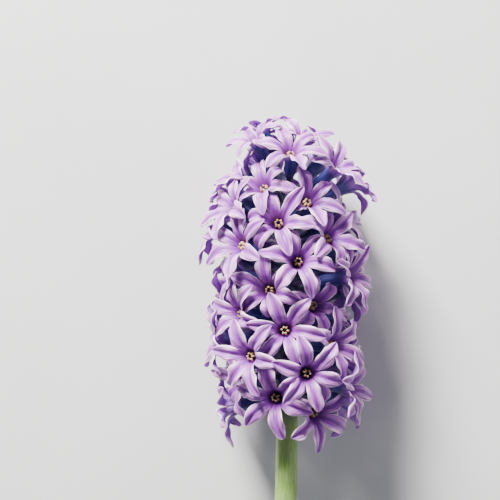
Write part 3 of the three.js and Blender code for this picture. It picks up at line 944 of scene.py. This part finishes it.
def petal_masks(tree):
    """Values from 0 to 1 that say where each coat goes."""
    place_across, place_along, chance = (attribute(tree, name) for name in ("across", "along", "chance"))
    place = {"Across": place_across, "Along": place_along}
    lines = use_group(tree, fine_lines, **place, Count=LINE_COUNT, Seed=chance)
    seed = calc(tree, "ADD", chance, STREAK_SEED)
    streaks = use_group(tree, fine_lines, **place, Count=STREAK_COUNT, Seed=seed)["Lines"]
    clouds = use_group(tree, blotches, Size=CLOUD_SIZE, Seed=chance)["Blotches"]
    from_midrib = calc(tree, "ABSOLUTE", place_across)
    wobbly = calc(tree, "MULTIPLY_ADD", lines["Lines"], WOBBLE, from_midrib)

    out_along = ramp(tree, place_along, *BAND_ALONG)
    band = opposite(tree, ramp(tree, wobbly, BAND_MIDDLE, between(tree, out_along, *BAND_WIDTH)))
    band = times(tree, band, between(tree, out_along, *BAND_FADES))
    band = times(tree, band, between(tree, chance, *BAND_DIFFERS))
    band = times(tree, band, between(tree, streaks, *BAND_STREAKED), clamp=True)
    pale = times(tree, ramp(tree, wobbly, *PALE_ACROSS), ramp(tree, place_along, *PALE_ALONG))
    return {
        "lines": lines["Lines"],
        "height": lines["Height"],
        "streaks": streaks,
        "band": band,
        "pale": times(tree, pale, between(tree, clouds, *PALE_CLOUDED)),
        "rim": times(tree, ramp(tree, from_midrib, *RIM_ACROSS), ramp(tree, place_along, *RIM_ALONG)),
        "midrib": opposite(tree, ramp(tree, from_midrib, *MIDRIB_ACROSS)),
        "tip": times(tree, ramp(tree, place_along, *TIP_ALONG), between(tree, clouds, *TIP_CLOUDED)),
        "throat": opposite(tree, ramp(tree, place_along, *THROAT_ALONG)),
        "tube": opposite(tree, ramp(tree, place_along, *TUBE_ALONG)),
    }


print("the streaks are", LINE_COUNT / STREAK_COUNT, "times as broad as the lines")

# %% [markdown]
# The Principled shader gives a satin surface that is a little duller on the lines, and a Bump node makes the lines
# stand up. Petals are thin and full of water, so light enters them and comes out again nearby: that is what the
# subsurface part of the shader does, most in red and blue here.

# %% Petal material
PETAL_ROUGHNESS = (0.36, 0.48)  # between the lines and on them


def principled(name):
    """A material with its graph and its Principled node."""
    material = bpy.data.materials.new(name)
    material.use_nodes = True
    return material, material.node_tree, material.node_tree.nodes["Principled BSDF"]


def raise_lines(tree, shader, height, strength, distance):
    """A Bump node that turns a height, at most the distance in metres, into the shader's normal."""
    bump = tree.nodes.new("ShaderNodeBump")
    bump.inputs["Strength"].default_value = strength
    bump.inputs["Distance"].default_value = distance
    link(tree, height, bump.inputs["Height"])
    link(tree, bump.outputs["Normal"], shader.inputs["Normal"])


def let_light_in(shader, weight, spread, depth):
    """Share of the light that enters, how far it spreads in red, green and blue, and the scale of that in metres."""
    shader.inputs["Subsurface Weight"].default_value = weight
    shader.inputs["Subsurface Radius"].default_value = spread
    shader.inputs["Subsurface Scale"].default_value = depth


def petal_material():
    """Coats of colour on each face, and the two faces mixed by the attribute that tells the inner one."""
    material, tree, shader = principled("petal")
    masks = petal_masks(tree)
    face = paint(tree, PETAL_LILAC, masks, INNER_COATS)
    back = paint(tree, BACK_LILAC, masks, OUTER_COATS)
    link(tree, blend_colours(tree, attribute(tree, "inner"), back, face), shader.inputs["Base Color"])
    link(tree, between(tree, masks["lines"], *PETAL_ROUGHNESS), shader.inputs["Roughness"])
    raise_lines(tree, shader, masks["height"], strength=0.8, distance=0.00035)
    let_light_in(shader, weight=0.26, spread=(1.0, 0.5, 1.2), depth=0.0012)
    return material


petal_look = petal_material()
print("petal material nodes:", len(petal_look.node_tree.nodes))

# %% [markdown]
# ## The florets
# Six petals make one floret, and each floret is one piece that takes the place of its solid. The attributes tell the
# material where each point is: from -1 to 1 across, along, on the inner face or not, and a chance value for each petal.

# %% Florets
stations, in_ring = rings.shape[1:3]
six_petals = many_faces(PETALS, stations, in_ring)
for f in range(FLORETS):
    node = f"floret_{f + 1:02d}"
    make_piece(
        f"{node}_petals",
        rings[f * PETALS : (f + 1) * PETALS],
        six_petals,
        petal_look,
        "petal",
        node,
        across=np.concatenate([u, u[::-1]]),
        along=travel[:, None],
        inner=np.repeat([1.0, 0.0], ACROSS_POINTS),
        chance=(0.5 + 0.5 * draw(np.full(PETALS, f), ITEM["chance"] + np.arange(PETALS)))[:, None, None],
    )
print("florets:", FLORETS, "faces:", FLORETS * len(six_petals))

# %% [markdown]
# ## The stem
# The stem is a long tube of rings with faint ridges. It is bowed a little below the flowers, where it carries nothing.
# The cut end is a set of ever smaller rings, sunk a little in the middle, and the tip is rounded like a ball.

# %% Stem
STEM_SIDES = 40
STEM_RINGS = 120
CUT_EDGE = 0.2  # how far the cut's edge is rounded
CUT_SUNK = 0.35  # how far its middle is sunk
CUT_EASE = 1.5
STEM_EASE = 1.5
TIP_ROUNDING = 5.0
TIP_OPEN = 0.01  # keeps the last ring from closing to a point
RIDGES = [(7, 0.012, 0.4), (13, 0.006, 0.0)]  # number of ridges, their height as a share of the radius, and a turn


def stem_radius(y):
    """Thickest below, thinning with a power of the height among the florets."""
    return STEM_FOOT_RADIUS - (STEM_FOOT_RADIUS - STEM_TIP_RADIUS) * np.clip(y / STEM_TIP, 0, None) ** STEM_EASE


cut_core = np.array([0.01, 0.25, 0.5, 0.7, 0.82, 0.92, 0.975])  # radii of the cut end's rings, as shares
core = np.concatenate([cut_core, np.ones(STEM_RINGS)])
cut_y = -STEM_LENGTH + CUT_SUNK * (1 - cut_core) ** CUT_EASE
y = np.concatenate([cut_y, np.linspace(-STEM_LENGTH + CUT_EDGE, STEM_TIP, STEM_RINGS)])
theta = ring_angles(STEM_SIDES)
bow = (np.clip(-y / STEM_LENGTH, 0, None) ** 2)[:, None]
ridges = 1 + sum(height_share * np.sin(number * theta + turn) for number, height_share, turn in RIDGES)
past = np.clip((y - STEM_TIP + TIP_ROUNDING) / (TIP_ROUNDING + TIP_OPEN), 0, None)
r = (stem_radius(y) * np.sqrt(np.clip(1 - past**2, 0, None)) * core)[:, None] * ridges
stem_x = STEM_BOW_SIDE * bow + r * np.sin(theta)
stem_z = STEM_BOW_SAG * bow + r * np.cos(theta)
stem_points = np.stack([stem_x, np.broadcast_to(y[:, None], r.shape), stem_z], -1)
print("stem:", len(y), "rings, thickest", (2 * r.max()).round(2), "mm")

# %% [markdown]
# Each floret hangs on a short stalk. It leaves the inside of the stem with a small swelling, thins to a neck, and ends
# inside the floret's foot, so that no gap shows at either end. All stalks are worked out together, as one array.

# %% Stalks
STALK_SIDES = 14
STALK_RINGS = 9
STALK_SUNK = 0.5  # where a stalk starts, as a share of the stem's radius
STALK_INSIDE = 0.5  # how far it reaches into the floret, in millimetres
STALK_NECK = 0.62  # this and the next are shares of the stalk's radius
STALK_SWELLING = 0.55
SWELLING_LENGTH = 0.22
STALK_COLLAR = 0.10
COLLAR_FROM = 0.7
up_the_stalk = np.linspace(0, 1, STALK_RINGS)
foot = root + axis * (stem_radius(root[:, 1]) * STALK_SUNK)[:, None]
end = mouth - axis * (size * (TUBE_LENGTH - STALK_INSIDE))[:, None]
centre = foot[:, None] + (end - foot)[:, None] * up_the_stalk[:, None]
swelling = STALK_SWELLING * np.exp(-((up_the_stalk / SWELLING_LENGTH) ** 2))
collar = STALK_COLLAR * smooth(up_the_stalk, COLLAR_FROM, 1.0)
swell = STALK_NECK + (1 - STALK_NECK) * up_the_stalk + swelling + collar
thickness = STALK_RADIUS * size[:, None] * swell
ring = spoke(index, ring_angles(STALK_SIDES)[None])
stalk_points = centre[:, :, None] + thickness[..., None, None] * ring[:, None]
print("stalks from", thickness.min().round(2), "to", thickness.max().round(2), "mm in radius")

# %% [markdown]
# ## Green material
# The bare stem is green with fine lengthwise lines and a waxy bloom in blotches. Among the florets it turns a deep
# violet, set by an attribute: partly the stem's own colour there, and darkened as painted shade of the gaps between
# the florets. The cut end shows pale pith with a ring of small green bundles in it, placed by an attribute that is 0
# in the middle of the cut and 1 at its edge. Bracts and pistils use the same material.

# %% Green material
STEM_GREEN = (0.22, 0.37, 0.075, 1)
STEM_SHADE = (0.13, 0.26, 0.045, 1)
STEM_WAX = (0.30, 0.43, 0.16, 1)
# Deep violet among the florets: partly their own colour, and darkened as painted shade of the gaps between them
STEM_VIOLET_AND_SHADE = (0.030, 0.014, 0.105, 1)
PITH_PALE = (0.56, 0.60, 0.36, 1)
PITH_GREEN = (0.30, 0.42, 0.14, 1)
BUNDLE_GREEN = (0.13, 0.22, 0.05, 1)
STEM_LINES = 22.0
WAX_SIZE = 0.01
BUNDLE_SIZE = 0.0011
RIND_CORE = (0.55, 0.95)
BUNDLE_CORE = (0.45, 0.7)
BUNDLE_EDGE = (0.6, 0.9)
STEM_ROUGHNESS = (0.36, 0.51)  # between the blotches of wax and on them


def pith_colour(tree):
    """Pale pith that gets greener towards the rind, with bundles where the blotches are densest."""
    core_value = attribute(tree, "core")
    bundles = use_group(tree, blotches, Size=BUNDLE_SIZE, Seed=0.5)["Blotches"]
    masks = {
        "rind": ramp(tree, core_value, *RIND_CORE),
        "bundles": times(tree, ramp(tree, core_value, *BUNDLE_CORE), ramp(tree, bundles, *BUNDLE_EDGE)),
    }
    return paint(tree, PITH_PALE, masks, [("rind", 1, PITH_GREEN), ("bundles", 1, BUNDLE_GREEN)])


def stem_material():
    """Green with lines, wax, cut pith and violet with painted shade as coats, over a smooth surface with low ridges."""
    material, tree, shader = principled("stem")
    turn = times(tree, attribute(tree, "across"), STEM_LINES)
    lines = use_group(tree, fine_lines, Across=turn, Along=attribute(tree, "along"), Count=1.0, Seed=0.3)
    wax = use_group(tree, blotches, Size=WAX_SIZE, Seed=0.7)["Blotches"]
    masks = {"lines": lines["Lines"], "wax": wax, "cut": attribute(tree, "cut"), "tint": attribute(tree, "tint")}
    # The last coat is the deep violet among the florets, partly painted shade
    coats = [("lines", 1, STEM_SHADE), ("wax", 0.35, STEM_WAX), ("cut", 1, pith_colour(tree)), ("tint", 1, STEM_VIOLET_AND_SHADE)]
    link(tree, paint(tree, STEM_GREEN, masks, coats), shader.inputs["Base Color"])
    link(tree, between(tree, wax, *STEM_ROUGHNESS), shader.inputs["Roughness"])
    raise_lines(tree, shader, lines["Height"], strength=0.25, distance=0.0002)
    let_light_in(shader, weight=0.12, spread=(0.6, 1.0, 0.3), depth=0.002)
    return material


stem_look = stem_material()
print("stem material nodes:", len(stem_look.node_tree.nodes))

# %% [markdown]
# Stem and stalks are one living piece, so they become one mesh: the points of both are joined, and the stalks' faces
# count on from the stem's last point. Round the stem the place across runs up and down again, so the lines have no
# seam where the ring closes.

# %% Stem with its stalks
LINE_LENGTH = 12.0  # millimetres of stem for one step along the lines
VIOLET_AND_SHADE_FROM, VIOLET_AND_SHADE_TO = -6, 12  # heights between which the stem turns violet and darker, partly as painted shade
STEM_VIOLET_AND_SHADE_SHARE = 0.97
STALK_VIOLET_AND_SHADE, STALK_VIOLET_AND_SHADE_MORE = 0.78, 0.2


def joined(stem_values, stalk_values):
    """One flat array from values spread over the stem's points and over the stalks' points."""
    return np.concatenate(
        [np.broadcast_to(stem_values, r.shape).ravel(), np.broadcast_to(stalk_values, stalk_points.shape[:3]).ravel()]
    )


turned = np.arange(STEM_SIDES) / STEM_SIDES
vertices = np.concatenate([stem_points.reshape(-1, 3), stalk_points.reshape(-1, 3)])
stalk_faces = many_faces(FLORETS, STALK_RINGS, STALK_SIDES) + r.size
stem_all = np.concatenate([ring_faces(len(y), STEM_SIDES), stalk_faces])
make_piece(
    "stem_with_stalks",
    vertices,
    stem_all,
    stem_look,
    "stem",
    "stem",
    across=joined(np.minimum(turned, 1 - turned) * 2, np.abs(np.linspace(-1, 1, STALK_SIDES))),
    along=vertices[:, 1] / LINE_LENGTH,
    # How much of the deep violet, partly painted shade, the stem and the stalks take
    tint=joined(
        STEM_VIOLET_AND_SHADE_SHARE * smooth(y, VIOLET_AND_SHADE_FROM, VIOLET_AND_SHADE_TO)[:, None], (STALK_VIOLET_AND_SHADE + STALK_VIOLET_AND_SHADE_MORE * up_the_stalk)[:, None]
    ),
    cut=joined((core < 1)[:, None], 0),
    core=joined(core[:, None], 1),
)
print("stem with stalks:", len(stem_all), "faces")

# %% [markdown]
# ## Stamens
# Six anthers stand in a tight ring just inside each floret's mouth, cream to tan, with a groove down each. They are
# small, so each is a few dozen faces only. A profile of radii is carried along a short straight line that leans
# towards the floret's axis, and the groove is a dent in the ring of points.

# %% Shape of the anthers
ANTHER_SIDES = 8
ANTHER_LENGTH = 3.1
ANTHER_RADIUS = 0.58
ANTHER_FLATNESS = 0.85
ANTHER_RING_RADIUS = 1.08
ANTHER_TOP = 0.5  # over the mouth
ANTHER_DROP = 0.35  # and up to this much lower
ANTHER_TURN = 12  # degrees to either side
ANTHER_LEAN = 0.26
ANTHER_GROOVE = 0.28
ANTHER_GROOVE_WIDTH = 0.45

# Share of the length, and radius there: a thin filament from the wall, then the pollen sac.
anther_along = np.array([0.0, 0.16, 0.28, 0.4, 0.6, 0.8, 0.93, 1.0])
anther_profile = np.array([0.25, 0.25, 0.5, 0.88, 1.0, 0.9, 0.55, 0.08])
theta = ring_angles(ANTHER_SIDES)
from_groove = np.minimum(theta, 2 * np.pi - theta)
dent = 1 - ANTHER_GROOVE * np.exp(-((from_groove / ANTHER_GROOVE_WIDTH) ** 2))
anther_radius = ANTHER_RADIUS * anther_profile[:, None] * dent
print("anther:", ANTHER_LENGTH, "by", (2 * anther_radius.max()).round(2), "mm")

# %% [markdown]
# All 348 anthers are placed at once. Each stands by one petal, with a small turn and a small drop of its own.

# %% Places of the anthers
anther = np.arange(PETALS)
turn_draw = draw(index[:, None], ITEM["turn"] + anther)
drop_draw = draw(index[:, None], ITEM["drop"] + anther)
out = spoke(index, np.radians(roll[:, None] + PETAL_TURN * anther + ANTHER_TURN * turn_draw))
over = np.cross(axis[:, None], out)
scale = size[:, None, None]
drop = (ANTHER_TOP - ANTHER_DROP * np.abs(drop_draw))[..., None]
top = mouth[:, None] + axis[:, None] * drop * scale + out * ANTHER_RING_RADIUS * scale
lean = unit(axis[:, None] - ANTHER_LEAN * out)
spine = top[:, :, None] - lean[:, :, None] * (1 - anther_along)[:, None] * (ANTHER_LENGTH * scale[..., None])
ring = (
    out[:, :, None, None] * (-np.cos(theta) * anther_radius)[..., None]
    + over[:, :, None, None] * (np.sin(theta) * anther_radius * ANTHER_FLATNESS)[..., None]
)
anther_points = spine[:, :, :, None] + ring * scale[..., None, None]
print("anthers:", anther_points.shape[0] * anther_points.shape[1])

# %% [markdown]
# The pollen sacs are spotted in cream and tan, paler along fine lines, and brown in the groove. They are dry and dull.

# %% Anthers
ANTHER_CREAM = (0.72, 0.54, 0.18, 1)
ANTHER_COATS = [
    ("spots", 1, (0.45, 0.29, 0.08, 1)),
    ("lines", 0.3, (0.82, 0.70, 0.46, 1)),
    ("groove", 1, (0.14, 0.07, 0.06, 1)),
]
ANTHER_GROOVE_ACROSS = (0.75, 1.0)


def anther_material():
    """Cream with tan spots, pale lines and a brown groove as coats."""
    material, tree, shader = principled("anther")
    turn = attribute(tree, "across")
    masks = {
        "spots": use_group(tree, blotches, Size=0.0012, Seed=0.1)["Blotches"],
        "lines": use_group(tree, fine_lines, Across=turn, Along=attribute(tree, "along"), Count=4.0, Seed=0.9)["Lines"],
        "groove": ramp(tree, turn, *ANTHER_GROOVE_ACROSS),
    }
    link(tree, paint(tree, ANTHER_CREAM, masks, ANTHER_COATS), shader.inputs["Base Color"])
    shader.inputs["Roughness"].default_value = 0.7
    return material


make_piece(
    "anthers",
    anther_points,
    many_faces(FLORETS * PETALS, len(anther_along), ANTHER_SIDES),
    anther_material(),
    "petal",
    across=1 - from_groove / np.pi,
    along=anther_along[:, None],
)
print("faces of an anther:", len(ring_faces(len(anther_along), ANTHER_SIDES)))

# %% [markdown]
# ## Bracts
# Under each stalk sits a small leaf-like scale, pressed against the stem. Each is a narrow ribbon of rings, widest
# below the middle and pointed, that leans away from the stem. They are hidden for the most part, so they stay simple.

# %% Bracts
BRACT_SIDES = 8
BRACT_LENGTH = 4.2
BRACT_HALF_WIDTH = 0.95
BRACT_THICKNESS = 0.45
BRACT_SUNK = 0.35  # how deep a bract's foot is in the stem
BRACT_STAND = 1.5  # how far its tip stands off
BRACT_RISE = 0.8  # share of its length that it rises
BRACT_DROP = 1.6  # stalk radii from the middle of the stalk down to the bract's foot
BRACT_CUP = 0.25  # how far its sides curve away from the stem, as a share of the half width
BRACT_EASE = 1.4  # above 1, a bract leans out more and more
BRACT_LINES = 0.4
BRACT_VIOLET_AND_SHADE, BRACT_VIOLET_AND_SHADE_MORE = 0.55, 0.3
bract_along = np.array([0.0, 0.15, 0.35, 0.6, 0.8, 0.93, 1.0])
bract_girth = BRACT_HALF_WIDTH * np.array([0.7, 0.95, 1.0, 0.8, 0.5, 0.25, 0.04])[:, None, None]
bract_thin = BRACT_THICKNESS * np.array([1.3, 1.0, 0.9, 0.8, 0.7, 0.5, 0.1])[:, None, None] / 2
angles = around[:, None, None]
outward = np.stack([np.sin(angles), np.zeros_like(angles), np.cos(angles)], -1)
sideways = np.stack([np.cos(angles), np.zeros_like(angles), -np.sin(angles)], -1)
theta = ring_angles(BRACT_SIDES)[:, None]
start = stem_radius(root[:, 1])[:, None, None, None] - BRACT_SUNK
stand = start + (BRACT_SUNK + BRACT_STAND * bract_along**BRACT_EASE)[:, None, None]
rise = (BRACT_LENGTH * bract_along * BRACT_RISE)[:, None, None]
below = root[:, 1][:, None, None, None] - BRACT_DROP * STALK_RADIUS + rise
bract_points = (
    outward * (stand + bract_thin * np.cos(theta) + BRACT_CUP * bract_girth * np.sin(theta) ** 2)
    + sideways * bract_girth * np.sin(theta)
    + UPWARD * below
)
bract_faces = many_faces(FLORETS, len(bract_along), BRACT_SIDES)
make_piece(
    "bracts",
    bract_points,
    bract_faces,
    stem_look,
    "stem",
    across=np.abs(np.sin(theta[:, 0])),
    along=bract_along[:, None] * BRACT_LINES,
    # Bracts take some of the deep violet, partly painted shade, more towards their tips
    tint=BRACT_VIOLET_AND_SHADE + BRACT_VIOLET_AND_SHADE_MORE * bract_along[:, None],
    cut=0,
    core=1,
)
print("bracts:", FLORETS, "faces each:", len(bract_faces) // FLORETS)

# %% [markdown]
# ## Pistils
# Deep in each throat stands a rounded seed chamber with a short style and a three-lobed tip. Little of it shows, so
# it is a profile turned round the floret's axis, with few sides. The tip is made three-lobed by a wave of the radius.

# %% Pistils
PISTIL_SIDES = 10
LOBES = 3
LOBE_HEIGHT = 0.22
LOBES_FROM, LOBES_TO = -3.0, -2.2
STIGMA_FROM, STIGMA_TO = -3.0, -2.0
PISTIL_VIOLET_AND_SHADE, STIGMA_GREENER = 0.75, 0.45
pistil_height = np.array([-7.0, -6.4, -5.3, -4.1, -3.5, -2.7, -2.2, -1.9, -1.8])
pistil_radius = np.array([0.1, 0.9, 1.2, 0.8, 0.34, 0.28, 0.45, 0.34, 0.04])
theta = ring_angles(PISTIL_SIDES)
lobes = 1 + LOBE_HEIGHT * np.cos(LOBES * theta) * smooth(pistil_height, LOBES_FROM, LOBES_TO)[:, None]
scale = size[:, None, None, None]
pistil_points = (
    mouth[:, None, None]
    + axis[:, None, None] * pistil_height[:, None, None] * scale
    + spoke(index, theta[None, None]) * (pistil_radius[:, None] * lobes)[..., None] * scale
)
pistil_faces = many_faces(FLORETS, len(pistil_height), PISTIL_SIDES)
make_piece(
    "pistils",
    pistil_points,
    pistil_faces,
    stem_look,
    "petal",
    across=theta / np.pi,
    along=pistil_height[:, None],
    # Pistils take much of the deep violet, partly painted shade, and less towards the stigma
    tint=PISTIL_VIOLET_AND_SHADE - STIGMA_GREENER * smooth(pistil_height, STIGMA_FROM, STIGMA_TO)[:, None],
    cut=0,
    core=1,
)
print("pistils:", FLORETS, "faces each:", len(pistil_faces) // FLORETS)

# %% [markdown]
# ## Floor
# The flower lies on a plain pale floor. It is one large square, with the faintest mottling, so that it looks like
# paper and doesn't draw the eye. It belongs to the stage and not to the flower.

# %% Floor
FLOOR_REACH = 3.0  # metres from the middle to each side
FLOOR_DARK = (0.60, 0.60, 0.59, 1)
FLOOR_PALE = (0.63, 0.63, 0.62, 1)


def floor_material():
    """Plain pale paper with the faintest mottling."""
    material, tree, shader = principled("floor")
    mottle = use_group(tree, blotches, Size=0.08, Seed=0.2)["Blotches"]
    link(tree, blend_colours(tree, mottle, FLOOR_DARK, FLOOR_PALE), shader.inputs["Base Color"])
    shader.inputs["Roughness"].default_value = 0.9
    return material


floor_corners = [(x * FLOOR_REACH, y * FLOOR_REACH, 0) for x, y in ((-1, -1), (1, -1), (1, 1), (-1, 1))]
floor_mesh = bpy.data.meshes.new("floor")
floor_mesh.from_pydata(floor_corners, [], [(0, 1, 2, 3)])
floor_mesh.materials.append(floor_material())
floor = bpy.data.objects.new("floor", floor_mesh)
bpy.context.scene.collection.objects.link(floor)
print("floor:", 2 * FLOOR_REACH, "m wide")

# %% [markdown]
# ## Light
# The main light is a large soft panel from beyond the tip, to the left, so the florets' tips are bright and their lower
# right sides fall into shade. A weak bluish panel opens the shade a little, and the room gives an even soft light.

# %% Lights
SPIKE_CENTRE = (0.0, 0.045, 0.035)
ROOM_COLOUR = (0.86, 0.86, 1.0, 1)
ROOM_STRENGTH = 0.27


def panel(name, place, target, width, power, colour):
    """A square area light at a place, facing a target."""
    data = bpy.data.lights.new(name, "AREA")
    data.size = width
    data.energy = power
    data.color = colour
    light = bpy.data.objects.new(name, data)
    light.location = place
    light.rotation_euler = (Vector(target) - Vector(place)).to_track_quat("-Z", "Y").to_euler()
    bpy.context.scene.collection.objects.link(light)


panel("key", (-0.40, 1.00, 0.62), SPIKE_CENTRE, width=0.38, power=100.0, colour=(1.0, 0.97, 0.95))
panel("fill", (0.9, -0.4, 0.9), SPIKE_CENTRE, width=1.0, power=4.0, colour=(0.86, 0.88, 1.0))
world = bpy.data.worlds.new("soft_room")
world.use_nodes = True
world.node_tree.nodes["Background"].inputs["Color"].default_value = ROOM_COLOUR
world.node_tree.nodes["Background"].inputs["Strength"].default_value = ROOM_STRENGTH
bpy.context.scene.world = world
print("lights:", len(bpy.data.lights), "and the room")

# %% [markdown]
# ## Camera
# The camera looks straight down on the flower, which shows the spike as a photograph of the upright flower does. Its
# place follows from two pixels of the photograph, the spike's axis and its top, and from the length that one pixel
# stands for. It stands far off with a long lens, so the spike isn't distorted.

# %% Camera
MM_PER_PIXEL = 0.424
IMAGE = 500
SPIKE_AXIS_PIXEL = 287.0
SPIKE_TOP_PIXEL = 115.0
SPIKE_TOP = 115.5  # millimetres along the floor
DISTANCE = 0.9
SENSOR = 36.0
camera_x = (IMAGE / 2 - SPIKE_AXIS_PIXEL) * MM_PER_PIXEL * MM
camera_y = (SPIKE_TOP - (IMAGE / 2 - SPIKE_TOP_PIXEL) * MM_PER_PIXEL) * MM
camera_data = bpy.data.cameras.new("camera")
camera_data.sensor_width = SENSOR
camera_data.lens = SENSOR * DISTANCE / (IMAGE * MM_PER_PIXEL * MM)
camera = bpy.data.objects.new("camera", camera_data)
camera.location = (camera_x, camera_y, AXIS_HEIGHT * MM + DISTANCE)
bpy.context.scene.collection.objects.link(camera)
bpy.context.scene.camera = camera
print("camera lens:", round(camera_data.lens, 1), "mm, at", [round(c, 3) for c in camera.location])
